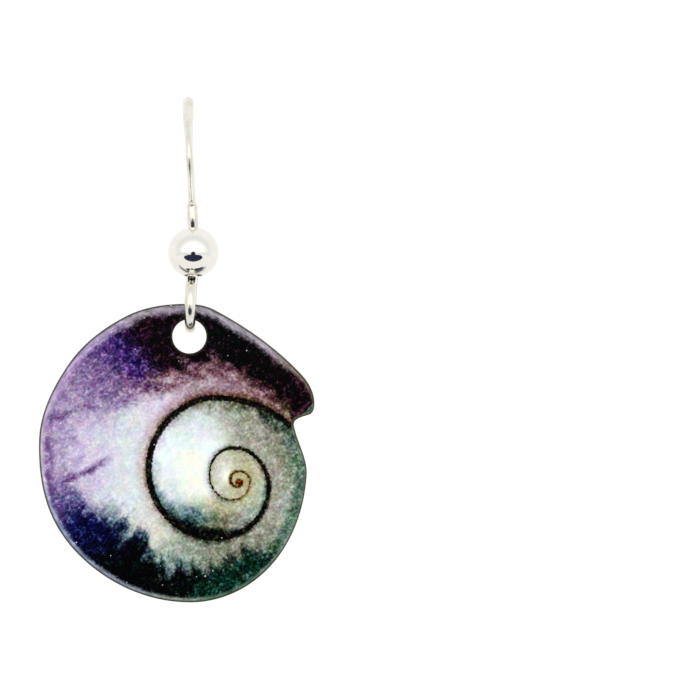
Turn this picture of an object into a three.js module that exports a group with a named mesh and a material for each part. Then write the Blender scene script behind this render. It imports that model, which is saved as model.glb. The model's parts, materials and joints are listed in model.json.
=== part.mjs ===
// Drop earring: a hooked ear wire with a small bead and a loop, and a flat disc that hangs
// in the loop by one hole. The disc is cut to the outline of a moon snail shell seen from
// its spire.
//
// Millimetres. The origin is the inside of the hook's top bend, where the ear carries it.
// +Z is up, the printed side of the disc faces -Y, and the hook bends back towards +Y.

import * as THREE from "three";

const { degToRad, euclideanModulo, lerp, radToDeg, smoothstep } = THREE.MathUtils;

// Ear wire: one length of round wire, hammered flat between the stem and the top bend.
const wireDiameter = 0.64;
const wireRadius = wireDiameter / 2;
const wireSides = 12;
const stepLength = 0.18;
const crownRadius = 3.8;
const tailRun = 5.3;
const flareRadius = 8;
const flareAngle = 20;
const tipRun = 1.2;
const legFlat = { thickness: 0.38, width: 1.0, bottom: -5.85, shoulder: 0.3 };
const tailFlat = { thickness: 0.38, width: 0.86, bottom: -7.65, shoulder: 1.8 };
const flatTop = 2.76;

// The wire leans a little: its sideways place at the bead and at the loop.
const stemLean = 0.33;
const loopLean = 0.14;

// Loop that carries the disc.
const loopRadius = 1.34;
const loopHeight = -11.69;
const loopGapAngle = 20;
const neckHeight = -9.95;

// Bead threaded loosely on the stem, so that it tips a little: its underside turns forwards.
const beadRadius = 1.5;
const beadHeight = -8.58;
const beadBore = 0.55;
const beadRim = 0.6;
const beadTip = 8;

// Disc: one flat sheet with a round hole near its top.
const discThickness = 0.7;
const holeRadius = 1.0;
const holeAcross = 0.1;
const holeHeight = -13.52;

// The disc's outline, clockwise from its top, about the centre of the hole: each place on
// it as [across, up, heading], where heading 0 runs to the right and 90 runs up.
const discOutline = [
  [-0.8, 1.9, 3],
  [1.5, 1.55, -28],
  [6.6, -2.25, -47],
  [7.35, -4.1, -95],
  [7.05, -4.6, -162],
  [6.15, -5.25, -79],
  [6.9, -8.2, -94],
  [5.2, -13.0, -127],
  [0.05, -15.65, -180],
  [-4.9, -14.15, -213],
  [-8.25, -10.2, -249],
  [-8.85, -6.2, -271],
  [-7.15, -1.7, -304],
  [-3.7, 1.2, -333],
];

// Places that the driving dimensions fix.
const crownHeight = wireRadius - crownRadius;
const stemY = -crownRadius;
const tailY = crownRadius;

const silver = { color: 0xe8e4da, roughness: 0.12, metalness: 1.0 };
const printed = { color: 0x8f8ba0, roughness: 0.35, metalness: 0.0 };

// A straight run in the plane of the hook, from one [y, z] place to another.
function straight(from, to) {
  const start = new THREE.Vector2(...from);
  const end = new THREE.Vector2(...to);
  return {
    length: start.distanceTo(end),
    at: (share) => start.clone().lerp(end, share),
  };
}

// A round bend in the plane of the hook; angles in degrees, 0 towards +Y and 90 up.
function bend(centreY, centreZ, radius, fromAngle, toAngle) {
  return {
    length: radius * Math.abs(degToRad(toAngle - fromAngle)),
    at: (share) => {
      const angle = degToRad(lerp(fromAngle, toAngle, share));
      const y = centreY + radius * Math.cos(angle);
      const z = centreZ + radius * Math.sin(angle);
      return new THREE.Vector2(y, z);
    },
  };
}

// The stem turns forwards into the loop through one small bend. Its radius is the one that
// touches both the stem and the loop's circle when it starts at the neck's height.
function neckAndLoop() {
  const rise = neckHeight - loopHeight;
  const neckRadius = (rise ** 2 - loopRadius ** 2) / (2 * loopRadius);
  const meet = radToDeg(Math.atan2(neckRadius, rise));
  return [
    bend(stemY - neckRadius, neckHeight, neckRadius, 0, meet - 90),
    bend(stemY, loopHeight, loopRadius, 90 + meet, 450 - loopGapAngle),
  ];
}

// The whole centreline, from the tail's cut end over the crown to the loop's cut end.
function wireStretches() {
  const flareTop = crownHeight - tailRun;
  const flareDrop = flareRadius * Math.sin(degToRad(flareAngle));
  const flareOut = flareRadius * (1 - Math.cos(degToRad(flareAngle)));
  const flareEnd = [tailY + flareOut, flareTop - flareDrop];
  const tip = [
    flareEnd[0] + tipRun * Math.sin(degToRad(flareAngle)),
    flareEnd[1] - tipRun * Math.cos(degToRad(flareAngle)),
  ];
  return [
    straight(tip, flareEnd),
    bend(tailY + flareRadius, flareTop, flareRadius, 180 + flareAngle, 180),
    straight([tailY, flareTop], [tailY, crownHeight]),
    bend(0, crownHeight, crownRadius, 0, 180),
    straight([stemY, crownHeight], [stemY, neckHeight]),
    ...neckAndLoop(),
  ];
}

// Sideways place of the wire at a height: upright at the crown, leaning on its way down to
// the bead, and part of the way back at the loop.
function leanAt(z) {
  const toBead = smoothstep(-z, 0, -beadHeight);
  const toLoop = smoothstep(-z, -beadHeight, -loopHeight);
  return stemLean * toBead + (loopLean - stemLean) * toLoop;
}

// The centreline as a curve whose parameter is the share of the wire's length.
class WirePath extends THREE.Curve {
  constructor(stretches) {
    super();
    this.stretches = stretches;
    this.total = stretches.reduce((sum, stretch) => sum + stretch.length, 0);
  }

  getPoint(share) {
    let left = share * this.total;
    const last = this.stretches.at(-1);
    const here = this.stretches.find((stretch) => {
      const inside = left <= stretch.length || stretch === last;
      if (!inside) left -= stretch.length;
      return inside;
    });
    const place = here.at(Math.min(left / here.length, 1));
    return new THREE.Vector3(leanAt(place.y), place.x, place.y);
  }
}

// How much the wire's thickness across the hook and its width in the hook's plane are
// scaled at a place on it: both 1 where it is round, and flattest between shoulder and crown.
function hammering(y, z) {
  const { thickness, width, bottom, shoulder } = y < 0 ? legFlat : tailFlat;
  const aboveShoulder = smoothstep(z, bottom, bottom + shoulder);
  const belowCrown = smoothstep(-z, -wireRadius, flatTop);
  const flat = aboveShoulder * belowCrown;
  return [lerp(1, thickness / wireDiameter, flat), lerp(1, width / wireDiameter, flat)];
}

// Hammers the round wire, moving each corner towards or away from the nearest centre.
function hammer(geometry, path, steps) {
  const centres = path.getSpacedPoints(steps);
  const position = geometry.getAttribute("position");
  const point = new THREE.Vector3();
  for (let i = 0; i < position.count; i += 1) {
    point.fromBufferAttribute(position, i);
    const centre = centres.reduce((best, candidate) =>
      candidate.distanceToSquared(point) < best.distanceToSquared(point) ? candidate : best,
    );
    const [across, along] = hammering(centre.y, centre.z);
    point.sub(centre).multiply(new THREE.Vector3(across, along, along)).add(centre);
    position.setXYZ(i, point.x, point.y, point.z);
  }
  geometry.computeVertexNormals();
  return geometry;
}

function earWire() {
  const path = new WirePath(wireStretches());
  const steps = Math.round(path.total / stepLength);
  const section = new THREE.Shape();
  for (let side = 0; side < wireSides; side += 1) {
    const angle = (2 * Math.PI * side) / wireSides;
    const x = wireRadius * Math.cos(angle);
    const y = wireRadius * Math.sin(angle);
    if (side === 0) section.moveTo(x, y);
    else section.lineTo(x, y);
  }
  section.closePath();
  const geometry = new THREE.ExtrudeGeometry(section, { extrudePath: path, steps });
  return makeMesh("ear_wire", hammer(geometry, path, steps), silver);
}

// A ball with a through bore: its profile runs down the bore and back up the outside.
function bead() {
  const rimAngle = Math.asin(beadRim / beadRadius);
  const rimHeight = beadRadius * Math.cos(rimAngle);
  const profile = [
    new THREE.Vector2(beadBore, rimHeight - (beadRim - beadBore)),
    new THREE.Vector2(beadBore, -rimHeight + (beadRim - beadBore)),
  ];
  const bands = 24;
  for (let band = 0; band <= bands; band += 1) {
    const angle = lerp(rimAngle - Math.PI, -rimAngle, band / bands);
    profile.push(
      new THREE.Vector2(-beadRadius * Math.sin(angle), beadRadius * Math.cos(angle)),
    );
  }
  profile.push(profile[0].clone());
  const geometry = new THREE.LatheGeometry(profile, 40);
  const mesh = makeMesh("bead", geometry.rotateX(Math.PI / 2), silver);
  mesh.rotation.x = -degToRad(beadTip);
  mesh.position.set(leanAt(beadHeight), stemY, beadHeight);
  return mesh;
}

// Handle length of the curve that rounds evenly from one heading to the next.
function handleLength(from, to) {
  const chord = Math.hypot(to[0] - from[0], to[1] - from[1]);
  const turn = euclideanModulo(to[2] - from[2] + 180, 360) - 180;
  return chord / (3 * Math.cos(degToRad(turn) / 4) ** 2);
}

function discShape() {
  const shape = new THREE.Shape();
  shape.moveTo(discOutline[0][0], discOutline[0][1]);
  discOutline.forEach((from, i) => {
    const to = discOutline[(i + 1) % discOutline.length];
    const reach = handleLength(from, to);
    const leave = degToRad(from[2]);
    const arrive = degToRad(to[2]);
    shape.bezierCurveTo(
      from[0] + reach * Math.cos(leave),
      from[1] + reach * Math.sin(leave),
      to[0] - reach * Math.cos(arrive),
      to[1] - reach * Math.sin(arrive),
      to[0],
      to[1],
    );
  });
  shape.holes.push(new THREE.Path().absarc(0, 0, holeRadius, 0, 2 * Math.PI, false));
  return shape;
}

function shellDisc() {
  const geometry = new THREE.ExtrudeGeometry(discShape(), {
    depth: discThickness,
    bevelEnabled: false,
    curveSegments: 12,
  });
  const mesh = makeMesh("shell_disc", geometry.rotateX(Math.PI / 2), printed);
  mesh.position.set(holeAcross, stemY + discThickness / 2, holeHeight);
  return mesh;
}

function makeMesh(name, geometry, finish) {
  const mesh = new THREE.Mesh(geometry, new THREE.MeshStandardMaterial(finish));
  mesh.name = name;
  return mesh;
}

const earring = new THREE.Group();
earring.add(earWire(), bead(), shellDisc());

export default earring;
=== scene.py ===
# %% [markdown]
# # A drop earring with a shell-shaped disc
#
# The earring is three pieces: a silver ear wire, a silver bead threaded on it, and a flat printed
# disc that hangs in the wire's loop. The solids that carry the sizes come in as a fixed frame,
# and this notebook builds the surfaces that are seen around them.
#
# Everything is in metres in the frame, and the earring is tiny. So lengths are written in
# millimetres and multiplied by `MM` where a mesh is made.

# %% Load the frame
import json
import math

import bpy
import numpy as np
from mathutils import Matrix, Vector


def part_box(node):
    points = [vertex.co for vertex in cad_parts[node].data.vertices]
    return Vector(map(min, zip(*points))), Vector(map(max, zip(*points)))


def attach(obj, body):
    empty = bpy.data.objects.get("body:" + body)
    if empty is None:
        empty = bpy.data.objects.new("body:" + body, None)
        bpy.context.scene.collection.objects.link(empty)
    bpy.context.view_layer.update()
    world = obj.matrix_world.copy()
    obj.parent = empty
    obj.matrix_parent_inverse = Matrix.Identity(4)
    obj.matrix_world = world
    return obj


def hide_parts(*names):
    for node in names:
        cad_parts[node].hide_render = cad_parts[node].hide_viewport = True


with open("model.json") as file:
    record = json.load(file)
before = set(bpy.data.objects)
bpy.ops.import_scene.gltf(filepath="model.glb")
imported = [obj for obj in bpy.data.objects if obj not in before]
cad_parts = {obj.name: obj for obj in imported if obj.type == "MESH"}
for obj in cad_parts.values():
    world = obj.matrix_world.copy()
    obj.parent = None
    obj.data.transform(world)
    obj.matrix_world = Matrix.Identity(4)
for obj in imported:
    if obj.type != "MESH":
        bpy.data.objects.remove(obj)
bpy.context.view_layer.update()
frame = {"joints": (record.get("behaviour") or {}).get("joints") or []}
MM = 0.001

# %% [markdown]
# ## Where the pieces are
#
# Places come from the frame. The bead's box gives its middle and its size. The joint gives the
# foot of the loop, where the disc turns on the wire. The disc's box gives where it hangs and how
# thick it is. They could be typed in as numbers, but then a change to the solids would be missed.

# %% Read the places
def box_mm(node):
    """The node's lowest and highest corners, in millimetres."""
    low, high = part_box(node)
    return np.array(low) / MM, np.array(high) / MM


bead_low, bead_high = box_mm("bead")
disc_low, disc_high = box_mm("shell_disc")
bead_centre = (bead_low + bead_high) / 2
loop_foot = np.array(frame["joints"][0]["pos_m"]) / MM
disc_thickness = disc_high[1] - disc_low[1]
print("bead centre", bead_centre.round(3), "loop foot", loop_foot.round(3))

# %% [markdown]
# ## One helper for every surface
#
# Each surface here is a grid of points: rings of points, one ring after another. The sides of a
# ring always close on themselves. The rings may close too, as on a ring-shaped tube, or end in
# two flat caps, as on a wire. Whole arrays go into the mesh at once, because a loop over single
# points would be slow and hard to read.

# %% Grid to mesh
def grid_object(name, points_mm, closed):
    """Joins a (rings, sides, 3) grid of points into one closed surface.

    Point (i, j) is joined to (i + 1, j), (i + 1, j + 1) and (i, j + 1). Where the rings don't
    close, the first and the last ring are each filled with one flat face.
    """
    rings, sides, _ = points_mm.shape
    index = np.arange(rings * sides).reshape(rings, sides)
    last = rings if closed else rings - 1
    here = index[:last]
    ahead = np.roll(index, -1, axis=0)[:last]
    faces = np.stack([here, ahead, np.roll(ahead, -1, 1), np.roll(here, -1, 1)], -1)
    faces = faces.reshape(-1, 4).tolist()
    if not closed:
        faces += [index[0].tolist(), index[-1][::-1].tolist()]
    mesh = bpy.data.meshes.new(name)
    mesh.from_pydata((points_mm * MM).reshape(-1, 3).tolist(), [], faces)
    mesh.polygons.foreach_set("use_smooth", np.ones(len(mesh.polygons), bool))
    mesh.update()
    piece = bpy.data.objects.new(name, mesh)
    bpy.context.scene.collection.objects.link(piece)
    print(name, "has", len(mesh.polygons), "faces")
    return piece


def smoothstep(value, low, high):
    """0 below low, 1 above high, and an even S-curve between them."""
    share = np.clip((value - low) / (high - low), 0, 1)
    return share * share * (3 - 2 * share)


print("grid helper ready")

# %% [markdown]
# ## The ear wire's route
#
# The wire is bent in one plane from straight runs and round bends: tail, flare, crown, front leg
# and stem, a small neck, and the loop. A drawn curve could follow it too, but round bends are what
# a jeweller's pliers make, and the same few lengths shape the solid. The centreline is worked out
# once as a long list of places, evenly spaced, each written (y, z).

# %% Bend the centreline
WIRE_WIDTH = 0.64
CROWN_RADIUS = 3.8
TAIL_RUN = 5.3
FLARE_RADIUS, FLARE_ANGLE = 8.0, 20.0
TIP_RUN = 1.2
NECK_HEIGHT = -9.95
LOOP_RADIUS = 1.34
LOOP_END_ANGLE = 430
SPACING = 0.04
loop_height = loop_foot[2] + LOOP_RADIUS
stem_y = loop_foot[1]
crown_height = WIRE_WIDTH / 2 - CROWN_RADIUS


def run(start, end):
    """Even places on the straight line from start to end."""
    count = max(int(math.dist(start, end) / SPACING), 2)
    share = np.linspace(0, 1, count, endpoint=False)[:, None]
    return np.array(start) * (1 - share) + np.array(end) * share


def bend(centre, radius, start, end):
    """Even places on a circle's arc: centre plus radius times (cosine, sine) of the angle.

    Angles are in degrees: 0 points to the back and 90 points up.
    """
    count = max(int(radius * abs(math.radians(end - start)) / SPACING), 2)
    angle = np.radians(np.linspace(start, end, count, endpoint=False))
    return np.array(centre) + radius * np.stack([np.cos(angle), np.sin(angle)], 1)


flare_top = crown_height - TAIL_RUN
flare_arc = bend((CROWN_RADIUS + FLARE_RADIUS, flare_top), FLARE_RADIUS, 180 + FLARE_ANGLE, 180)
flare = math.radians(FLARE_ANGLE)
tip = flare_arc[0] + TIP_RUN * np.array([math.sin(flare), -math.cos(flare)])

# The neck's radius is the one that touches both the stem and the loop's circle.
rise = NECK_HEIGHT - loop_height
neck_radius = (rise**2 - LOOP_RADIUS**2) / (2 * LOOP_RADIUS)
meet = math.degrees(math.atan2(neck_radius, rise))
route = np.vstack([
    run(tip, flare_arc[0]),
    flare_arc,
    run((CROWN_RADIUS, flare_top), (CROWN_RADIUS, crown_height)),
    bend((0, crown_height), CROWN_RADIUS, 0, 180),
    run((stem_y, crown_height), (stem_y, NECK_HEIGHT)),
    bend((stem_y - neck_radius, NECK_HEIGHT), neck_radius, 0, meet - 90),
    bend((stem_y, loop_height), LOOP_RADIUS, 90 + meet, LOOP_END_ANGLE),
])
print("wire length about", round(len(route) * SPACING, 1), "mm")

# %% [markdown]
# ## The ear wire's surface
#
# The wire is carried along its route as a flat oval whose two half-widths change. It is round at
# the loop, stem and crown. The front leg and the upper tail have been hammered, so they are thin
# across the hook and wide in its plane. The leg's flat starts at a short shoulder and the tail's
# comes in slowly. The whole wire leans a little to one side. Its tail ends in a filed, round tip,
# and the loop ends in a plain snipped end. A bevelled curve would be quicker, but it has the same
# section all the way, so the sections are worked out here.

# %% Lean and flatten the wire
STEM_LEAN = 0.33
loop_lean = loop_foot[0]
THINNEST = 0.38
FLAT_TOP = 2.76
LEG_FLAT = np.array([[-5.85], [0.3], [1.0]])
TAIL_FLAT = np.array([[-7.65], [1.8], [0.86]])


def lean_at(z):
    """Sideways place: 0 at the crown, then STEM_LEAN at the bead, then loop_lean."""
    to_bead = smoothstep(-z, 0, -bead_centre[2])
    to_loop = smoothstep(-z, -bead_centre[2], -loop_height)
    return STEM_LEAN * to_bead + (loop_lean - STEM_LEAN) * to_loop


def section_sizes(y, z):
    """Half-thickness across the hook, half-width in its plane, and how flat, from 0 to 1.

    LEG_FLAT and TAIL_FLAT each hold where the flattening starts, over what length it comes in,
    and how wide the wire is where it is flattest. Nearer the crown than FLAT_TOP it fades out.
    """
    bottom, shoulder, wide = np.where(y < 0, LEG_FLAT, TAIL_FLAT)
    flat = smoothstep(z, bottom, bottom + shoulder) * smoothstep(-z, -WIRE_WIDTH / 2, FLAT_TOP)
    across = WIRE_WIDTH + (THINNEST - WIRE_WIDTH) * flat
    along = WIRE_WIDTH + (wide - WIRE_WIDTH) * flat
    return across / 2, along / 2, flat


print("hammered from", WIRE_WIDTH, "mm round to", THINNEST, "mm thick")

# %% Bow the front leg
BOWS = [(-2.75, 0.75, 0.12), (-6.6, 0.4, 0.09)]
BOW_FADE = 2.0


def bow_at(y, z):
    """How far the front leg bows forwards: a soft hump at each (height, width, amount).

    A hump is the amount times e to the minus square of (z - height) / width. All fade out where
    the wire turns back over the crown, and are gone BOW_FADE in front of its middle.
    """
    humps = [amount * np.exp(-(((z - height) / width) ** 2)) for height, width, amount in BOWS]
    return sum(humps) * smoothstep(-y, BOW_FADE, CROWN_RADIUS)


print(len(BOWS), "soft bows in the front leg")

# %% Sweep the wire
SNIP = 0.05
SMALLEST_END = 0.02
FLAT_FACES = 0.3


def end_rounding(distance, radius):
    """How much a section shrinks near an end: the height of a quarter circle, up to 1."""
    inside = 1 - np.clip(distance / radius, 0, 1)
    return np.sqrt(np.clip(1 - inside**2, SMALLEST_END, 1))


def sweep_wire(sides=48, middle_rings=860):
    """A flat oval carried along the route.

    At each place, `across` is the X axis squared to the route, and `along` is square to both.
    A point is the place + across * a * C + along * b * S, where C and S are the cosine and sine
    raised to a power below 1 where the wire is hammered, which flattens the oval's faces. The
    rings stand closer together over the filed tip and over the snipped end of the loop.
    """
    step = np.hypot(*np.diff(route, axis=0).T)
    length = np.concatenate([[0], np.cumsum(step)])
    rounded_end = (WIRE_WIDTH / 2) * (1 - np.cos(np.linspace(0.1, np.pi / 2, 12)))
    snipped_end = length[-1] - SNIP * (1 - np.cos(np.linspace(np.pi / 2, 0.1, 6)))
    middle = np.linspace(rounded_end[-1] + SPACING, snipped_end[0] - SPACING, middle_rings)
    at = np.concatenate([rounded_end, middle, snipped_end])
    y = np.interp(at, length, route[:, 0])
    z = np.interp(at, length, route[:, 1])
    centre = np.stack([lean_at(z), y - bow_at(y, z), z], 1)
    heading = np.gradient(centre, at, axis=0)
    heading /= np.linalg.norm(heading, axis=1, keepdims=True)
    across = np.array([1.0, 0, 0]) - heading * heading[:, :1]
    across /= np.linalg.norm(across, axis=1, keepdims=True)
    along = np.cross(heading, across)
    half_across, half_along, flat = section_sizes(y, z)
    shrink = end_rounding(at, WIRE_WIDTH / 2) * end_rounding(at[-1] + 1e-3 - at, SNIP)
    angle = np.linspace(0, 2 * np.pi, sides, endpoint=False)
    exponent = (1 - FLAT_FACES * flat)[:, None]
    cosine = np.sign(np.cos(angle)) * np.abs(np.cos(angle)) ** exponent
    sine = np.sign(np.sin(angle)) * np.abs(np.sin(angle)) ** exponent
    a = (half_across * shrink)[:, None] * cosine
    b = (half_along * shrink)[:, None] * sine
    return centre[:, None] + a[..., None] * across[:, None] + b[..., None] * along[:, None]


ear_wire = grid_object("ear_wire_polished", sweep_wire(), closed=False)

# %% [markdown]
# ## The bead
#
# The bead is a ball with a wide hole right through it. A ball with a hole cut out of it would
# have a sharp rim and messy faces. So its profile is a closed line: up the outside, over a small
# rolled rim, down the bore and round the other rim. Turning that line round the bead's own axis
# gives the whole surface, with no pole to pinch. The bead sits loosely on the wire, so it tips:
# its underside turns forwards and shows a sliver of the hole.

# %% Turn the bead
BORE_RADIUS = 0.55
RIM_RADIUS = 0.05
BEAD_TIP = math.radians(8)
bead_radius = (bead_high[0] - bead_low[0]) / 2


def bead_profile(count=96):
    """(radius, height) along the closed profile: a big arc, a rolled rim, the bore, a rim.

    The ball's arc stops where a rim circle of radius RIM_RADIUS touches it from inside.
    """
    stop = math.asin((BORE_RADIUS + RIM_RADIUS) / (bead_radius - RIM_RADIUS))
    polar = np.linspace(stop, np.pi - stop, count)
    outside = bead_radius * np.stack([np.sin(polar), np.cos(polar)], 1)
    rim_height = (bead_radius - RIM_RADIUS) * math.cos(stop)
    turn = np.linspace(np.pi / 2 - stop, np.pi, 10)[1:]
    rim_arc = RIM_RADIUS * np.stack([np.cos(turn), np.sin(turn)], 1)
    top = rim_arc + [BORE_RADIUS + RIM_RADIUS, rim_height]
    bottom = top[::-1] * [1, -1]
    wall = np.linspace(top[-1], bottom[0], 12)[1:-1]
    return np.vstack([outside[::-1], top, wall, bottom])


def turn_and_tip(profile, sides=128):
    """Every profile point (r, h) becomes (r cos t, r sin t, h) for t right round the axis.

    Tipping by an angle a then moves (y, h) to (y cos a + h sin a, h cos a - y sin a).
    """
    angle = np.linspace(0, 2 * np.pi, sides, endpoint=False)
    radius, height = profile[:, 0][:, None], profile[:, 1][:, None]
    x, y, z = radius * np.cos(angle), radius * np.sin(angle), height + 0 * angle
    tipped_y = y * math.cos(BEAD_TIP) + z * math.sin(BEAD_TIP)
    tipped_z = z * math.cos(BEAD_TIP) - y * math.sin(BEAD_TIP)
    return np.stack([x, tipped_y, tipped_z], -1) + bead_centre


bead = grid_object("bead_polished", turn_and_tip(bead_profile()), closed=True)

# %% [markdown]
# ## The disc's outline
#
# The disc is cut to the outline of a moon snail shell, seen from its spire. The outline is a few
# places, in millimetres from the centre of the hole, with a heading at each in degrees. Between
# two places the edge rounds evenly from one heading to the next. Each stretch is a cubic curve
# whose handles have the length that a circle's arc would need, so a few places are enough.

# %% Draw the outline
OUTLINE = [
    (-0.8, 1.9, 3),
    (1.5, 1.55, -28),
    (6.6, -2.25, -47),
    (7.35, -4.1, -95),
    (7.05, -4.6, -162),
    (6.15, -5.25, -79),
    (6.9, -8.2, -94),
    (5.2, -13.0, -127),
    (0.05, -15.65, -180),
    (-4.9, -14.15, -213),
    (-8.25, -10.2, -249),
    (-8.85, -6.2, -271),
    (-7.15, -1.7, -304),
    (-3.7, 1.2, -333),
]


def rounded_stretch(start, end, count=120):
    """A cubic curve from start to end; a handle is chord / (3 cos^2(turn / 4)) long."""
    chord = math.dist(start[:2], end[:2])
    turn = (end[2] - start[2] + 180) % 360 - 180
    handle = chord / (3 * math.cos(math.radians(turn) / 4) ** 2)
    leave, arrive = math.radians(start[2]), math.radians(end[2])
    first, last = np.array(start[:2]), np.array(end[:2])
    second = first + handle * np.array([math.cos(leave), math.sin(leave)])
    third = last - handle * np.array([math.cos(arrive), math.sin(arrive)])
    t = np.linspace(0, 1, count, endpoint=False)[:, None]
    ends = (1 - t) ** 3 * first + t**3 * last
    return ends + 3 * (1 - t) ** 2 * t * second + 3 * (1 - t) * t**2 * third


def draw_outline(count=840):
    """The whole outline as evenly spaced places, and the outward direction at each."""
    pairs = zip(OUTLINE, OUTLINE[1:] + OUTLINE[:1])
    line = np.vstack([rounded_stretch(start, end) for start, end in pairs])
    loop = np.vstack([line, line[:1]])
    length = np.concatenate([[0], np.cumsum(np.hypot(*np.diff(loop, axis=0).T))])
    at = np.linspace(0, length[-1], count, endpoint=False)
    place = np.stack([np.interp(at, length, loop[:, k]) for k in (0, 1)], 1)
    heading = np.roll(place, -2, 0) - np.roll(place, 2, 0)
    heading /= np.linalg.norm(heading, axis=1, keepdims=True)
    return place, np.stack([-heading[:, 1], heading[:, 0]], 1)


outline, outward = draw_outline()
hole_x = disc_low[0] - outline[:, 0].min()
hole_z = disc_low[2] - outline[:, 1].min()
print("outline spans", np.ptp(outline, axis=0).round(2), "mm; hole at", round(hole_x, 2), round(hole_z, 2))

# %% [markdown]
# ## The disc's surface
#
# The disc has one hole, so its surface closes both ways, like a flattened ring. One direction
# runs round the outline. The other runs across: over the front from the hole to the edge, round
# the softened edge, back over the plain side, and round the hole's wall. Places on the front are
# spread between the hole and the outline, and are closer together next to both edges. Cutting
# the hole out of a plain sheet would leave it without a softened rim.

# %% Cut the disc
HOLE_RADIUS = 1.0
SOFT_EDGE = 0.07


def quarter(count=7):
    """Pairs (inset, depth) from a flat face over a softened edge to its straight wall."""
    angle = np.linspace(0, np.pi / 2, count)
    return SOFT_EDGE * np.stack([1 - np.sin(angle), 1 - np.cos(angle)], 1)


def cut_disc(front_rows=44):
    """Points (u, v): u runs round the outline and v runs across the sheet.

    A place between the hole and the edge is hole * (1 - s) + edge * s, where hole is the circle
    of radius HOLE_RADIUS + inset in the direction of the outline's place, and edge is the outline
    moved inwards by inset.
    """
    direction = outline / np.linalg.norm(outline, axis=1, keepdims=True)
    soft = quarter()
    share = (1 - np.cos(np.linspace(0, np.pi, front_rows))) / 2
    front = [(s, SOFT_EDGE, 0.0) for s in share]
    rim_front = [(1.0, inset, depth) for inset, depth in soft[1:]]
    rim_back = [(1.0, inset, disc_thickness - depth) for inset, depth in soft[::-1]]
    back = [(s, SOFT_EDGE, disc_thickness) for s in share[::-2]]
    hole_back = [(0.0, inset, disc_thickness - depth) for inset, depth in soft[1:]]
    hole_front = [(0.0, inset, depth) for inset, depth in soft[::-1][:-1]]
    stations = front + rim_front + rim_back + back[1:] + hole_back + hole_front
    share, inset, depth = np.array(stations).T
    hole = direction[:, None] * (HOLE_RADIUS + inset)[:, None]
    edge = outline[:, None] - outward[:, None] * inset[:, None]
    flat = hole * (1 - share)[:, None] + edge * share[:, None]
    y = disc_low[1] + np.broadcast_to(depth, flat.shape[:2])
    return np.stack([flat[..., 0] + hole_x, y, flat[..., 1] + hole_z], -1)


disc_points = cut_disc()
disc = grid_object("shell_disc_printed", disc_points, closed=True)

# %% [markdown]
# ## How far from the edge
#
# The print changes near the disc's edge, and a shader can't see where a mesh ends. So the distance
# to the outline is measured here for every point and stored with the mesh as an attribute.

# %% Measure the distance to the disc's edge
def distance_to_outline(points_mm, chunk=4000):
    """The nearest outline place to each point, as a distance in millimetres."""
    flat = points_mm.reshape(-1, 3)[:, [0, 2]] - [hole_x, hole_z]
    parts = [flat[i:i + chunk] for i in range(0, len(flat), chunk)]
    gaps = [np.hypot(*(part[:, None] - outline[None]).transpose(2, 0, 1)).min(1) for part in parts]
    return np.concatenate(gaps)


rim_distance = distance_to_outline(disc_points)
rim = disc.data.attributes.new("rim_mm", "FLOAT", "POINT")
rim.data.foreach_set("value", rim_distance.astype(np.float32))
print("furthest place from the edge:", round(float(rim_distance.max()), 2), "mm")

# %% [markdown]
# ## Arithmetic on a surface
#
# The print is drawn by formulas that are worked out at every place on the disc. A shader does
# that with many small Math nodes. This helper lets them be written as ordinary arithmetic: a
# `Field` is the output of a node, and adding or multiplying two of them makes the next node.

# %% Fields
class Field:
    """A number or colour that changes over a surface: one output of one shader node.

    `tree` is the node tree that is being drawn.
    """

    tree = None

    def __init__(self, socket):
        self.socket = socket

    def __add__(self, other):
        return maths("ADD", self, other)

    def __sub__(self, other):
        return maths("SUBTRACT", self, other)

    def __rsub__(self, other):
        return maths("SUBTRACT", other, self)

    def __mul__(self, other):
        return maths("MULTIPLY", self, other)

    def __truediv__(self, other):
        return maths("DIVIDE", self, other)

    __radd__ = __add__
    __rmul__ = __mul__


def node(kind, **settings):
    """A new node in the tree that is being drawn, with some of its settings."""
    made = Field.tree.nodes.new(kind)
    for name, value in settings.items():
        setattr(made, name, value)
    return made


def feed(socket, value):
    """Links a field to a socket, or sets the socket to a plain value."""
    if isinstance(value, Field):
        Field.tree.links.new(value.socket, socket)
    else:
        socket.default_value = value


def maths(operation, *values):
    """One step of arithmetic on fields or numbers, by a Math node."""
    made = node("ShaderNodeMath", operation=operation)
    for socket, value in zip(made.inputs, values):
        feed(socket, value)
    return Field(made.outputs[0])


def step_up(value, low, high):
    """0 below low, 1 above high, with a smooth rise; low may be above high."""
    made = node("ShaderNodeMapRange", interpolation_type="SMOOTHSTEP")
    for name, given in zip(("Value", "From Min", "From Max"), (value, low, high)):
        feed(made.inputs[name], given)
    return Field(made.outputs["Result"])


def blend(share, first, second):
    """first where share is 0 and second where it is 1, for colours."""
    made = node("ShaderNodeMix", data_type="RGBA")
    feed(made.inputs["Factor"], share)
    feed(made.inputs[6], first)
    feed(made.inputs[7], second)
    return Field(made.outputs[2])


def scale_colour(colour, amount):
    """A colour, or a place, times a number."""
    made = node("ShaderNodeVectorMath", operation="SCALE")
    feed(made.inputs[0], colour)
    feed(made.inputs["Scale"], amount)
    return Field(made.outputs[0])


def ink(red, green, blue):
    """A colour given from 0 to 255, as the eye sees it, on a scale of 0 to 1."""
    return (red / 255, green / 255, blue / 255, 1.0)


print("field helpers ready")

# %% [markdown]
# ## Ramps, curves and noise
#
# A ramp is a list of named colours along the shell's growth, and a curve is a line of numbers along
# it, through listed points. Growth is counted in turns of the spiral, from 0 to TURNS. Noise is what
# makes a print look like a shell and not a drawing.

# %% Ramps and noise
TURNS = 3.0


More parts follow.
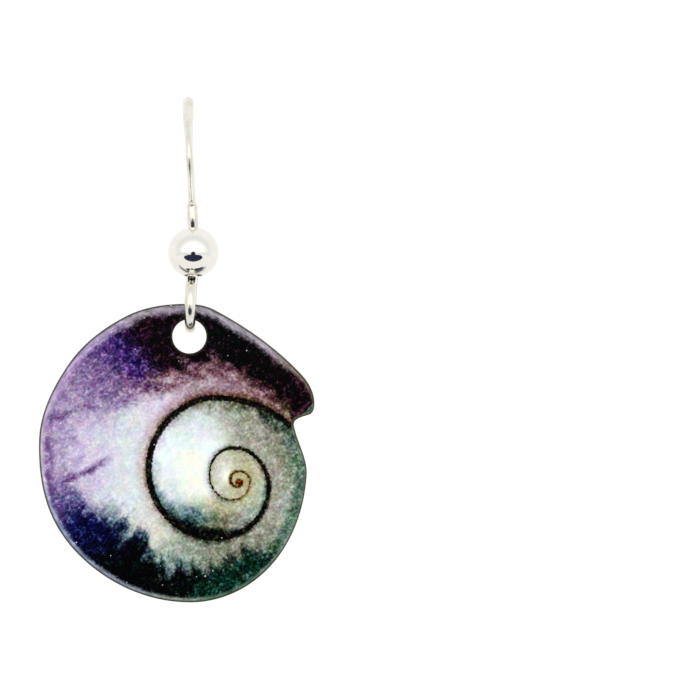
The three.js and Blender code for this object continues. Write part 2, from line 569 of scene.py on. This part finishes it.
def ramp(turns, stops):
    """A colour that changes along the growth of the shell, with an ink at each stop."""
    made = node("ShaderNodeValToRGB")
    made.color_ramp.interpolation = "EASE"
    elements = made.color_ramp.elements
    for stop, colour in stops[2:]:
        elements.new(stop / TURNS)
    for element, (stop, colour) in zip(elements, stops):
        element.position = stop / TURNS
        element.color = ink(*colour)
    feed(made.inputs[0], turns / TURNS)
    return Field(made.outputs["Color"])


def curve(turns, points, low=0.0, high=1.0):
    """A number from low to high that changes along the growth, through the given points."""
    made = node("ShaderNodeFloatCurve")
    line = made.mapping.curves[0]
    for _ in points[2:]:
        line.points.new(0.5, 0.5)
    for point, (stop, value) in zip(line.points, points):
        point.location = (stop / TURNS, (value - low) / (high - low))
    made.mapping.update()
    feed(made.inputs["Value"], turns / TURNS)
    return Field(made.outputs[0]) * (high - low) + low


def noise(where, size, detail=2.0, rough=0.5, colour=False):
    """Soft noise from 0 to 1; size is the width of a patch, in the units of `where`."""
    made = node("ShaderNodeTexNoise")
    feed(made.inputs["Vector"], where)
    made.inputs["Scale"].default_value = 1 / size
    made.inputs["Detail"].default_value = detail
    made.inputs["Roughness"].default_value = rough
    return Field(made.outputs["Color" if colour else "Fac"])


def spot(x, y, z=0.0):
    """Three numbers as one place, for a texture to read."""
    made = node("ShaderNodeCombineXYZ")
    for socket, value in zip(made.inputs, (x, y, z)):
        feed(socket, value)
    return Field(made.outputs[0])


print("ramps, curves and noise ready")

# %% [markdown]
# ## Where a place lies on the shell
#
# A snail shell grows as a spiral, and each turn is nearly three times as wide as the one before.
# The dark line between two turns is the suture. The lines could be laid on the disc as curves, but
# the inks have to follow the growth too, so the shell gets its own coordinates. From a place's
# angle and distance about the tip of the spire, this cell works out two numbers. `turns` says how
# far back along the growth the place is: 0 at the lip and 1 after one turn. `across` runs over the
# whorl, from 0 at its inner suture to 1 at its outer suture, or at the disc's edge.

# %% Spiral coordinates
APEX = (2.94, -8.58)
LIP_ANGLE = math.radians(47)
START = 5.73
GROWTH = 1.053
SKEW = 0.286
SKEW_ANGLE = math.radians(169)
WOBBLE_REACH = 0.4
WOBBLE = [
    (0.0, -0.085), (0.08, -0.1), (0.2, -0.02), (0.45, 0.05), (0.62, 0.065), (0.8, 0.005),
    (0.95, 0.0), (1.17, 0.09), (1.37, -0.05), (1.6, -0.03), (1.75, -0.04), (1.95, 0.05),
    (2.2, -0.05), (2.5, -0.25), (3.0, -0.3),
]


def suture(turns, angle):
    """The suture's distance from the tip of the spire, in millimetres.

    It is START at the lip, shrinks by e to the GROWTH in every turn, is wider on the side that
    SKEW_ANGLE points to, and wanders a little.
    """
    wobble = curve(turns, WOBBLE, -WOBBLE_REACH, WOBBLE_REACH)
    shape = maths("COSINE", angle - SKEW_ANGLE) * SKEW + wobble
    return maths("EXPONENT", shape - turns * GROWTH) * START


def shell_place():
    """The fields that the print is drawn with, as a dictionary.

    x and z are measured from the tip of the spire and depth from the disc's front. The number of
    sutures that pass outside a place gives its turns. inner and outer are the distances of the
    sutures on its two sides, body is 1 on the last whorl, and edge is the distance to the edge.
    """
    object_place = node("ShaderNodeTexCoord").outputs["Object"]
    split = node("ShaderNodeSeparateXYZ")
    Field.tree.links.new(object_place, split.inputs[0])
    x = Field(split.outputs["X"]) / MM - (hole_x + APEX[0])
    z = Field(split.outputs["Z"]) / MM - (hole_z + APEX[1])
    angle = maths("ARCTAN2", z, x)
    distance = maths("SQRT", x * x + z * z)
    share = maths("FRACT", (angle - LIP_ANGLE) / (2 * math.pi) + 1.0)
    turns = share
    for passed in range(int(TURNS)):
        turns = turns + maths("LESS_THAN", distance, suture(share + float(passed), angle))
    edge = Field(node("ShaderNodeAttribute", attribute_name="rim_mm").outputs["Fac"])
    body = maths("LESS_THAN", turns, 1.0)
    inner = suture(turns, angle)
    outer = suture(turns - 1.0, angle) * (1.0 - body) + (distance + edge) * body
    across = (distance - inner) / (outer - inner)
    return {
        "x": x, "z": z, "depth": Field(split.outputs["Y"]) / MM - disc_low[1],
        "angle": angle, "distance": distance, "turns": turns, "across": across,
        "inner": inner, "outer": outer, "body": body, "edge": edge,
    }


print("each turn is", round(math.exp(GROWTH), 2), "times as wide as the one before")

# %% [markdown]
# ## The colours of the print
#
# A few named inks make the whole print. They are mixed as the eye sees them, from 0 to 1, and
# turned into light only at the end, because that keeps a blend of two inks even. A whorl is
# painted with four brushes from its inner suture outwards. Each brush changes ink as the shell
# grows.

# %% Inks
BLACK, PLUM_BLACK, PLUM, DUSK = (0, 2, 2), (14, 3, 8), (62, 36, 42), (106, 70, 84)
ROSE, MAUVE, TAUPE, BROWN = (134, 98, 106), (162, 140, 152), (140, 127, 117), (97, 82, 53)
INDIGO, VIOLET, ORCHID, LAVENDER = (52, 28, 96), (90, 58, 114), (122, 98, 144), (160, 144, 180)
LILAC, MIST, ICE = (200, 192, 218), (210, 219, 226), (231, 241, 242)
NAVY, SLATE, TEAL, BOTTLE = (7, 11, 58), (66, 84, 106), (70, 104, 108), (6, 34, 26)
SAGE, STONE, GREY_MINT, SAND = (82, 108, 94), (122, 128, 112), (148, 158, 148), (153, 153, 140)
MOSS, OLIVE, STRAW, CREAM = (40, 46, 34), (98, 102, 78), (175, 174, 147), (239, 245, 232)
HONEY, WHEAT, RUST = (148, 136, 92), (176, 170, 128), (70, 40, 18)
PEARL, MINT, BLUSH, HEATHER = (205, 208, 196), (174, 184, 164), (192, 178, 180), (214, 204, 220)
WINE, GRAPE, IRIS, FIR = (58, 18, 30), (46, 14, 58), (84, 74, 128), (44, 82, 66)
FROST, PEWTER = (152, 162, 186), (178, 171, 184)
SOOT, UMBER, CORE, CUT_EDGE = (8, 7, 3), (72, 36, 10), (92, 26, 4), (50, 50, 32)
SPARK, SHEET = (236, 226, 236), (226, 224, 216)

BESIDE_SUTURE = [
    (0.0, OLIVE), (0.08, BROWN), (0.18, ROSE), (0.24, MAUVE), (0.3, BLUSH), (0.42, BLUSH),
    (0.48, STONE), (0.55, MOSS), (0.62, OLIVE), (0.85, OLIVE), (1.0, SAND), (1.12, SAND),
    (1.22, MIST), (1.4, MIST), (1.5, STONE), (1.7, HONEY), (2.15, HONEY), (2.4, WHEAT),
    (2.9, HONEY),
]
CREST = [
    (0.0, TAUPE), (0.08, ROSE), (0.18, MAUVE), (0.24, HEATHER), (0.31, MIST), (0.38, MIST),
    (0.46, PEARL), (0.5, GREY_MINT), (0.58, STONE), (0.72, SAND), (1.1, SAND), (1.22, ICE),
    (1.32, CREAM), (1.4, CREAM), (1.5, STRAW), (1.9, STRAW), (2.03, WHEAT), (2.12, STRAW),
    (2.28, CREAM), (2.5, STRAW), (2.9, WHEAT),
]
FLANK = [
    (0.0, BROWN), (0.08, PLUM), (0.17, DUSK), (0.22, DUSK), (0.27, ORCHID), (0.32, LILAC),
    (0.38, LILAC), (0.42, SLATE), (0.5, TEAL), (0.6, MOSS), (0.68, STONE),
    (0.78, GREY_MINT), (0.95, STONE), (1.12, SAND), (1.22, MIST), (1.32, ICE), (1.4, MIST),
    (1.47, TEAL), (1.55, OLIVE), (1.65, GREY_MINT), (1.8, MINT), (2.05, STRAW), (2.3, PEARL),
    (2.6, STRAW), (2.9, WHEAT),
]
OUTSKIRTS = [
    (0.0, PLUM_BLACK), (0.14, BLACK), (0.21, PLUM_BLACK), (0.235, INDIGO), (0.268, ORCHID),
    (0.3, LAVENDER), (0.365, LAVENDER), (0.385, IRIS), (0.41, NAVY), (0.47, BLACK), (0.53, BLACK),
    (0.58, BOTTLE), (0.66, BOTTLE), (0.73, SAGE), (0.95, SAGE), (1.08, MOSS), (1.2, OLIVE),
    (1.3, LILAC), (1.4, TEAL), (1.48, BLACK), (1.58, BLACK), (1.68, SAGE), (1.9, SAGE),
    (2.05, OLIVE), (2.2, STRAW), (2.4, STRAW), (2.9, HONEY),
]
print("four brushes ready")

# %% [markdown]
# ## Drawing the shell
#
# How far out the darkest ink is full changes along the growth. Streaks that follow the growth
# lines push the brushes in and out, so that the dark band ends in fingers, and soft mottling
# breaks up every blend. Wine, grape and green patches lie in the darkest ink. Flat bands of colour
# would be simpler, but a real shell's colours never stop at a line.

# %% Streaks along the growth
GROWTH_BEND = 0.74
TIP_ROOM = 0.05


def growth_line(distance, angle):
    """An angle that stays the same along one growth line, which bends back as it goes out.

    It is the angle less GROWTH_BEND times the logarithm of the distance. TIP_ROOM keeps the
    logarithm finite at the tip of the spire.
    """
    return angle - maths("LOGARITHM", distance + TIP_ROOM, math.e) * GROWTH_BEND


def over_disc(at, seed=0.0):
    """The place on the disc for a noise to read. Each seed gives another noise."""
    return spot(at["x"], at["z"], seed)


def growth_streaks(at, width, seed):
    """Noise drawn out along the growth lines."""
    line = growth_line(at["distance"], at["angle"])
    around = spot(maths("COSINE", line), maths("SINE", line), at["across"] * 0.25 + seed)
    return noise(around, width, detail=3.0, rough=0.55) - 0.5


print("streak helpers ready")

# %% How far out each ink lies
DARK_REACH_TOP = 1.2
DARK_REACH = [
    (0.0, 0.6), (0.06, 0.5), (0.11, 0.55), (0.16, 0.5), (0.21, 0.45), (0.26, 0.72), (0.31, 0.85),
    (0.36, 0.84), (0.41, 0.68), (0.46, 0.55), (0.51, 0.62), (0.56, 0.6), (0.61, 0.52),
    (0.66, 0.68), (0.75, 0.88), (1.0, 0.85), (1.1, 0.95), (1.25, 1.05), (1.35, 1.1),
    (1.42, 0.97), (1.48, 0.92), (1.55, 0.88), (1.61, 1.0), (1.7, 1.0), (3.0, 1.0),
]
FINGERS = [(0.0, 0.4), (0.3, 0.4), (0.42, 0.75), (0.6, 0.75), (0.7, 0.45), (3.0, 0.4)]
FLANK_START = [(0.0, 0.3), (0.38, 0.3), (0.46, 0.46), (0.6, 0.46), (0.7, 0.3), (3.0, 0.3)]
PATCHES = [
    (0.0, 0.5), (0.2, 0.5), (0.25, 0.0), (0.48, 0.0), (0.56, 0.5), (0.66, 0.4), (0.8, 0.8),
    (1.05, 0.6), (1.15, 0.0), (3.0, 0.0),
]
PATCH_INK = [
    (0.0, WINE), (0.1, WINE), (0.2, GRAPE), (0.5, SAGE), (0.66, SAGE), (0.72, FIR), (3.0, FIR),
]
print("the darkest ink is full at", DARK_REACH[0][1], "of the way across at the lip")

# %% Paint the whorls
def paint_whorls(at):
    """Blends the four brushes outwards, each at its share of the way to the darkest ink.

    The share is the place across the whorl, pushed by streaks and mottling, over how far out the
    darkest ink is full at that stage of the growth.
    """
    turns, across = at["turns"], at["across"]
    mottle = noise(over_disc(at), 1.1, detail=4.0, rough=0.62) - 0.5
    fingers = curve(turns, FINGERS)
    pushed = across + growth_streaks(at, 0.13, 4.0) * fingers + mottle * 0.5
    share = pushed / curve(turns, DARK_REACH, 0.0, DARK_REACH_TOP)
    crest = blend(step_up(across, 0.02, 0.16), ramp(turns, BESIDE_SUTURE), ramp(turns, CREST))
    start = curve(turns, FLANK_START)
    flank = blend(step_up(share, start, start * 0.6 + 0.54), crest, ramp(turns, FLANK))
    patches = step_up(noise(over_disc(at, 8.0), 0.7, detail=4.0, rough=0.65), 0.48, 0.72)
    patches = patches * curve(turns, PATCHES)
    darkest = blend(patches, ramp(turns, OUTSKIRTS), ramp(turns, PATCH_INK))
    return blend(step_up(share, 0.68, 1.0), flank, darkest)


print("whorl brush ready")

# %% [markdown]
# ## Lines and edges
#
# The suture is a dark, ragged line at the foot of every turn, with a rusty or mossy fringe on its
# outer side. It is heavy on the outer whorls, fine near the tip of the spire, and turns brown
# there. Two thin purple lines cross the last whorl where its growth paused. A pale band along the
# disc's edge is a painted highlight, where the glossy coat rolls over the edge and catches the
# light, with a violet stain beside it, and the cut shows as a thin dark line.
# All are drawn by distance from a line, so that each one's width is easy to change.

# %% How heavy the suture is
SUTURE_HEAVY = [
    (0.0, 0.75), (0.2, 0.95), (0.4, 1.0), (0.7, 1.15), (1.1, 1.1), (1.25, 0.6), (1.37, 0.45),
    (1.62, 0.7), (1.87, 0.5), (2.12, 0.9), (3.0, 0.9),
]
SUTURE_INSIDE = [
    (1.0, 1.8), (1.15, 1.8), (1.25, 2.0), (1.38, 2.0), (1.5, 2.2), (2.1, 2.0), (2.3, 0.9),
    (2.62, 1.2), (2.87, 0.8), (3.0, 1.0),
]
FRINGE_INK = [(0.0, RUST), (0.4, RUST), (0.5, MOSS), (0.9, MOSS), (1.0, OLIVE), (3.0, BROWN)]
FRINGE = [
    (0.0, 0.75), (0.2, 0.7), (0.27, 0.5), (0.42, 0.4), (0.5, 0.6), (0.6, 0.7), (1.0, 0.6),
    (1.15, 0.5), (3.0, 0.6),
]
ON_LAST_WHORL = 9.0


def draw_suture(at, colour):
    """A dark line along each turn's edge, with a fringe on its outer side.

    The line covers a half-width of ink on each side of the suture. The last whorl has no suture
    outside it, so there the inside distance is pushed out of reach.
    """
    turns, distance = at["turns"], at["distance"]
    ragged = (noise(over_disc(at, 3.0), 0.13, detail=3.0, rough=0.7) - 0.5) * 0.3
    outside = distance - at["inner"] + ragged
    inside = at["outer"] - distance + ragged + at["body"] * ON_LAST_WHORL
    half = step_up(distance, 0.3, 4.2) * 0.09 + 0.06
    fringe = (1.0 - step_up(outside, half * 0.5, half * 2.6)) * curve(turns, FRINGE)
    colour = blend(fringe, colour, ramp(turns, FRINGE_INK))
    heavy = half * curve(turns, SUTURE_HEAVY, 0.0, 1.5)
    within = half * curve(turns, SUTURE_INSIDE, 0.0, 4.0)
    line = maths("MAXIMUM", 1.0 - step_up(outside, heavy * 0.6, heavy * 1.1),
                 1.0 - step_up(inside, within * 0.65, within))
    line_ink = blend(step_up(distance, 1.9, 1.1), ink(*SOOT), ink(*UMBER))
    colour = blend(line * 0.95, colour, line_ink)
    return blend(1.0 - step_up(distance, 0.1, 0.24), colour, ink(*CORE))


print("suture ready")

# %% Growth marks
GROWTH_MARKS = [(0.29, 0.5, 0.6), (0.3625, 0.3, 0.8)]
MARK_WIDTH = 0.042
MARK_DISTANCE = 9.5


def draw_growth_mark(at, colour, turns, low, strength):
    """A thin purple line along the growth line that is at `turns`, MARK_DISTANCE from the tip.

    It starts at `low` of the way across the whorl.
    """
    wander = (noise(over_disc(at, 7.0), 1.6, detail=1.0) - 0.5) * 0.16
    middle = turns * 2 * math.pi + LIP_ANGLE - math.log(MARK_DISTANCE) * GROWTH_BEND
    off = maths("ABSOLUTE", growth_line(at["distance"], at["angle"]) + wander - middle)
    mark = 1.0 - step_up(off, 0.0, MARK_WIDTH)
    mark = mark * at["body"] * step_up(at["across"], low, low + 0.2)
    return blend(mark * strength, colour, ink(*VIOLET))


print(len(GROWTH_MARKS), "growth marks")

# %% The stain and the painted highlight along the edge
# Inks and widths of the painted highlight along the edge, where the glossy coat catches the light.
EDGE_SHEEN_INK = [
    (0.0, OLIVE), (0.04, TAUPE), (0.09, PEWTER), (0.2, PEWTER), (0.28, LAVENDER),
    (0.34, PEWTER), (0.42, FROST), (0.48, FROST), (0.54, GREY_MINT), (0.6, SAGE),
    (0.75, GREY_MINT), (1.1, STONE),
]
EDGE_SHEEN_WIDTH = [
    (0.0, 0.16), (0.03, 0.3), (0.07, 0.45), (0.12, 0.55), (0.24, 0.6), (0.31, 0.36),
    (0.4, 0.34), (0.5, 0.3), (0.66, 0.24), (0.74, 0.14), (1.0, 0.16), (3.0, 0.2),
]
RIM_STAIN = [(0.0, 0.0), (0.26, 0.1), (0.31, 0.6), (0.38, 0.9), (0.42, 0.0), (3.0, 0.0)]


def draw_stain_and_edge_sheen(at, colour):
    """A violet stain near the disc's edge, and a painted highlight right along it, where the glossy coat
    rolls over the edge and catches the light.
    """
    turns, flat = at["turns"], over_disc(at, 5.0)
    uneven = (noise(flat, 0.9, detail=2.0) - 0.5) * 1.0 + (noise(flat, 0.16) - 0.5) * 0.9 + 1.0
    edge = at["edge"] * uneven
    blotch = step_up(noise(over_disc(at, 1.0), 0.6, detail=3.0), 0.36, 0.6)
    stained = (1.0 - step_up(edge, 0.45, 0.95)) * curve(turns, RIM_STAIN) * blotch
    colour = blend(stained, colour, ink(*VIOLET))
    width = curve(turns, EDGE_SHEEN_WIDTH)
    # Painted highlight: a pale band of edge ink, brightened in streaks, where the coat rolls over the
    # edge.
    band = 1.0 - step_up(edge, width * 0.45, width * 1.35)
    faint = noise(over_disc(at, 6.0), 0.35, detail=3.0) * 0.5 + 0.5
    along = spot(at["angle"] * 9.0, at["edge"] * 2.6, 2.0)
    sheen_streaks = noise(along, 0.45, detail=3.0, rough=0.6) * 1.3 + 0.5
    return blend(band * faint, colour, scale_colour(ramp(turns, EDGE_SHEEN_INK), sheen_streaks))


def draw_cut(at, colour):
    """The thin dark line where the disc and its hole were cut."""
    x, z = at["x"] + APEX[0], at["z"] + APEX[1]
    from_hole = maths("SQRT", x * x + z * z) - HOLE_RADIUS
    cut = maths("MAXIMUM", 1.0 - step_up(at["edge"], 0.04, 0.15),
                1.0 - step_up(from_hole, 0.05, 0.19))
    return blend(cut * 0.8, colour, ink(*CUT_EDGE))


print("edge band and cut ready")

# %% [markdown]
# ## Grain and painted glints
#
# Ink that is printed from fine dots looks grainy, and a few grains catch the light: these glints are
# painted into the ink as bright dots. The grain is noise that makes the inks lighter and darker, more
# so in dark inks, and tints them a little. Its axes are turned, because noise that lies square to the
# disc shows faint rows.

# %% Grain
def power(colour, amount):
    """Raises a colour to a power, which moves dark and middle inks more than pale ones."""
    made = node("ShaderNodeGamma")
    feed(made.inputs["Color"], colour)
    feed(made.inputs["Gamma"], amount)
    return Field(made.outputs[0])


def add_colours(colour, amount):
    """The sum of two colours."""
    made = node("ShaderNodeVectorMath", operation="ADD")
    feed(made.inputs[0], colour)
    feed(made.inputs[1], amount)
    return Field(made.outputs[0])


def brightness(colour):
    """How light a colour is, as one number."""
    made = node("ShaderNodeRGBToBW")
    feed(made.inputs[0], colour)
    return Field(made.outputs[0])


TURN_ACROSS, TURN_UP = 0.8, 0.6
LEAST_POWER = 0.45
GREY = (-0.5, -0.5, -0.5)


def draw_grain(at, colour):
    """Fine mottling of the ink: colour to the power 1 + noise, and a little stray tint.

    The power never goes under LEAST_POWER, or dark ink would turn into bright dots.
    """
    flat = spot(at["x"] * TURN_ACROSS + at["z"] * TURN_UP, at["z"] * TURN_ACROSS - at["x"] * TURN_UP)
    fine = noise(flat, 0.17, detail=1.5, rough=0.6) - 0.5
    coarse = noise(flat, 0.5, detail=3.0, rough=0.6) - 0.5
    tint = add_colours(noise(flat, 0.24, detail=2.0, rough=0.6, colour=True), GREY)
    stray = add_colours(noise(flat, 0.9, detail=3.0, rough=0.6, colour=True), GREY)
    light = brightness(colour)
    change = (fine * 2.0 + coarse * 2.2) * (1.2 - light * 0.65) + 1.0
    colour = power(colour, maths("MAXIMUM", change, LEAST_POWER))
    colour = add_colours(colour, scale_colour(tint, 0.27 - light * 0.16))
    return add_colours(colour, scale_colour(stray, light * 0.12 + 0.06))


print("ink is never lightened past a power of", LEAST_POWER)

# %% Painted glints
GLINT_SPACING = 0.5


def draw_painted_glints(at, colour):
    """Painted glints: bright dots where grains of the coat catch the light, one near the middle of a few
    of the cells of a random pattern.
    """
    cells = node("ShaderNodeTexVoronoi", feature="F1")
    feed(cells.inputs["Vector"], over_disc(at))
    cells.inputs["Scale"].default_value = 1 / GLINT_SPACING
    chance = node("ShaderNodeSeparateColor")
    Field.tree.links.new(cells.outputs["Color"], chance.inputs[0])
    chosen = step_up(Field(chance.outputs[0]), 0.35, 0.85)
    size = Field(chance.outputs[1]) * 0.06 + 0.07
    # Painted highlight: each glint is a small bright dot of SPARK ink.
    glint = 1.0 - step_up(Field(cells.outputs["Distance"]), size * 0.4, size)
    return blend(glint * chosen * 0.9, colour, ink(*SPARK))


print("specks about", GLINT_SPACING, "mm apart")

# %% [markdown]
# ## The disc's material
#
# Only the front is printed. The cut edge and the back show the sheet itself, a plain warm white.
# The disc could have a second material there, but mixing the print in by its depth from the front
# keeps the softened edge in one piece. The ink is sealed under a thin coat with a soft gloss.

# %% Printed sheet
EYE_TO_LIGHT = 2.2
PRINT_DEPTH = 0.1, 0.16


def new_material(name):
    """A new material, whose nodes are drawn next, and its main shader."""
    material = bpy.data.materials.new(name)
    material.use_nodes = True
    Field.tree = material.node_tree
    return material, material.node_tree.nodes["Principled BSDF"]


def dent_surface(shader, height, strength, depth_mm):
    """Makes a surface look dented by a field, without moving it."""
    bump = node("ShaderNodeBump")
    bump.inputs["Strength"].default_value = strength
    bump.inputs["Distance"].default_value = depth_mm * MM
    feed(bump.inputs["Height"], height)
    Field.tree.links.new(bump.outputs[0], shader.inputs["Normal"])


def printed_sheet():
    """The print, drawn in order: whorls, growth marks, suture, grain, stain and painted edge highlight,
    cut, and painted glints.
    """
    material, shader = new_material("printed_sheet")
    at = shell_place()
    colour = paint_whorls(at)
    for turns, low, strength in GROWTH_MARKS:
        colour = draw_growth_mark(at, colour, turns, low, strength)
    colour = draw_grain(at, draw_suture(at, colour))
    # Paints the violet stain, a highlight along the edge and the dark cut line.
    colour = draw_cut(at, draw_stain_and_edge_sheen(at, colour))
    # Paints bright glints into the ink, where the coat's grains catch the light.
    colour = draw_painted_glints(at, colour)
    front = 1.0 - step_up(at["depth"], *PRINT_DEPTH)
    colour = blend(front, ink(*SHEET), colour)
    feed(shader.inputs["Base Color"], power(colour, EYE_TO_LIGHT))
    shader.inputs["Roughness"].default_value = 0.2
    shader.inputs["Specular IOR Level"].default_value = 0.1
    shader.inputs["Coat Weight"].default_value = 0.06
    shader.inputs["Coat Roughness"].default_value = 0.05
    dent_surface(shader, noise(over_disc(at, 9.0), 0.3, detail=3.0), 0.1, 0.02)
    print(material.name, "is drawn with", len(Field.tree.nodes), "nodes")
    return material


disc.data.materials.append(printed_sheet())

# %% [markdown]
# ## Silver
#
# Polished silver is a mirror with a faintly warm tone. A perfect mirror would look like chrome, and
# nothing hand-finished is one: fine scratches from the polishing cloth vary the roughness, and
# shallow dents make the reflections wander. The hammered wire is duller than the bead.

# %% Silver
PALE_BEAD, DULL_BEAD = (0.88, 0.865, 0.80, 1), (0.85, 0.83, 0.77, 1)
PALE_WIRE, DULL_WIRE = (0.84, 0.82, 0.73, 1), (0.72, 0.70, 0.59, 1)


def silver(name, pale, dull, smooth, scratch, dent):
    """A mirror whose tone drifts from pale to dull, with scratches and shallow dents.

    Its roughness runs from smooth to smooth + scratch. Dents are in millimetres.
    """
    material, shader = new_material(name)
    flat = scale_colour(Field(node("ShaderNodeTexCoord").outputs["Object"]), 1 / MM)
    shader.inputs["Metallic"].default_value = 1.0
    cloudy = step_up(noise(flat, 0.9, detail=3.0), 0.35, 0.65)
    feed(shader.inputs["Base Color"], blend(cloudy, pale, dull))
    feed(shader.inputs["Roughness"], noise(flat, 0.06, detail=4.0, rough=0.7) * scratch + smooth)
    dent_surface(shader, noise(flat, 0.45, detail=2.0), 0.2, dent)
    return material


bead_silver = silver("silver_polished", PALE_BEAD, DULL_BEAD, 0.03, 0.08, 0.008)
wire_silver = silver("silver_hammered", PALE_WIRE, DULL_WIRE, 0.1, 0.16, 0.03)
bead.data.materials.append(bead_silver)
ear_wire.data.materials.append(wire_silver)
print("silver on", ear_wire.name, "and", bead.name)

# %% [markdown]
# ## Riding on the frame
#
# The wire and the bead stay with the hook's body. The disc rides on the pendant body, which
# swings at the loop's foot. Each piece stands for one solid, which is hidden.

# %% Ride and hide the replaced solids
for piece, body, solid, slot in (
    (ear_wire, "hook", "ear_wire", "silver"),
    (bead, "hook", "bead", "silver"),
    (disc, "pendant", "shell_disc", "printed_sheet"),
):
    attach(piece, body)
    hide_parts(solid)
    print(piece.name, "rides on", body)

# %% [markdown]
# ## The studio
#
# The earring hangs in a white studio, high over a pale floor. The surround is white behind the
# earring and a cooler, slightly darker white in front of it, where one big soft light stands
# above the camera's line. Shiny silver needs something dark to mirror, or it looks like paper.
# So two dark cards stand in front as well: a small round one for the camera, and a wide one
# below it. A third lies underneath. The camera doesn't see them, and they cast no shadow. Lamps
# would light the silver too, but their sharp spots look nothing like a soft box.

# %% Floor
def plain_material(name, colour):
    """One matt colour."""
    material, shader = new_material(name)
    shader.inputs["Base Color"].default_value = colour
    shader.inputs["Roughness"].default_value = 0.9
    return material


def flat_shape(name, points_mm, material):
    """One flat face through the given points, which isn't part of the earring."""
    mesh = bpy.data.meshes.new(name)
    mesh.from_pydata((np.array(points_mm) * MM).tolist(), [], [tuple(range(len(points_mm)))])
    mesh.materials.append(material)
    shape = bpy.data.objects.new(name, mesh)
    bpy.context.scene.collection.objects.link(shape)
    return shape


FLOOR_DROP = 280.0
FLOOR_REACH = 1500.0
FLOOR_WHITE = (0.95, 0.95, 0.95, 1)
floor_height = disc_low[2] - FLOOR_DROP
corners = np.array([(-1, -1), (1, -1), (1, 1), (-1, 1)]) * FLOOR_REACH
floor_paint = plain_material("floor_white", FLOOR_WHITE)
flat_shape("floor", [(x, y, floor_height) for x, y in corners], floor_paint)
print("floor at", round(floor_height, 1), "mm")

# %% Surround with one soft light
WHITE_BEHIND = (1.02, 1.02, 1.02, 1)
WHITE_IN_FRONT = (0.87, 0.90, 0.92, 1)
SOFT_LIGHT = (1.6, 1.52, 1.44, 1)
ARCH_WIDTH, ARCH_HEIGHT = 0.95, 0.85


def white_surround():
    """White that turns cooler in front, with a soft bright arch above the camera's line.

    A direction is a place on a ball of radius 1. Its distance from the arch's middle is the root
    of across squared plus up squared, where across is its sideways part over ARCH_WIDTH and up is
    its height over ARCH_HEIGHT. The arch fades out from 0.6 to 1.1 of that, and starts softly at
    the horizon.
    """
    world = bpy.data.worlds.new("white_surround")
    world.use_nodes = True
    Field.tree = world.node_tree
    split = node("ShaderNodeSeparateXYZ")
    Field.tree.links.new(node("ShaderNodeTexCoord").outputs["Generated"], split.inputs[0])
    x, y, z = (Field(socket) for socket in split.outputs)
    colour = blend(step_up(y, 0.15, -0.3), WHITE_BEHIND, WHITE_IN_FRONT)
    across, up = x / ARCH_WIDTH, z / ARCH_HEIGHT
    arch = 1.0 - step_up(maths("SQRT", across * across + up * up), 0.6, 1.1)
    arch = arch * step_up(z, -0.06, 0.1) * step_up(y, 0.0, -0.1)
    colour = blend(arch, colour, SOFT_LIGHT)
    feed(Field.tree.nodes["Background"].inputs["Color"], colour)
    return world


bpy.context.scene.world = white_surround()
print("surround:", bpy.context.scene.world.name)

# %% Dark cards
CARD_DISTANCE = 250.0
NAVY_BLACK = (0.008, 0.012, 0.05, 1)
card_navy = plain_material("card_navy", NAVY_BLACK)


def dark_card(name, centre, half_width, half_height=0.0, half_depth=0.0):
    """An oval card that only mirrors see. It stands up, or lies flat if it has a half-depth."""
    angle = np.linspace(0, 2 * np.pi, 48, endpoint=False)
    x = centre[0] + half_width * np.cos(angle)
    y = centre[1] + half_depth * np.sin(angle)
    z = centre[2] + half_height * np.sin(angle)
    card = flat_shape(name, np.stack([x, y, z], 1), card_navy)
    card.visible_camera = False
    card.visible_diffuse = False
    card.visible_shadow = False
    return card


card_y = bead_centre[1] - CARD_DISTANCE
dark_card("card_for_camera", (0, card_y, disc_high[2] - 23), 45, half_height=45)
dark_card("card_below_camera", (0, card_y, bead_centre[2] - 135), 250, half_height=92)
dark_card("card_underneath", (14, -10, -110), 60, half_depth=14)
print("cards stand", CARD_DISTANCE, "mm in front")

# %% [markdown]
# ## The camera
#
# The earring is seen straight on, through a very long lens, so that nothing is foreshortened and
# the back of the hook hides behind its front. It hangs in the left half of the view.

# %% Camera
SENSOR, LENS = 36.0, 1200.0
VIEW_WIDTH = 41.18
VIEW_CENTRE = (9.55, -14.32)
camera_data = bpy.data.cameras.new("camera")
camera_data.sensor_width, camera_data.lens = SENSOR, LENS
camera_data.clip_start, camera_data.clip_end = 0.01, 10.0
camera = bpy.data.objects.new("camera", camera_data)
away = VIEW_WIDTH * LENS / SENSOR
camera.location = (VIEW_CENTRE[0] * MM, (disc_low[1] - away) * MM, VIEW_CENTRE[1] * MM)
camera.rotation_euler = (math.pi / 2, 0, 0)
bpy.context.scene.collection.objects.link(camera)
bpy.context.scene.camera = camera
bpy.context.scene.view_settings.view_transform = "Standard"
print("camera stands", round(away), "mm in front of the disc")
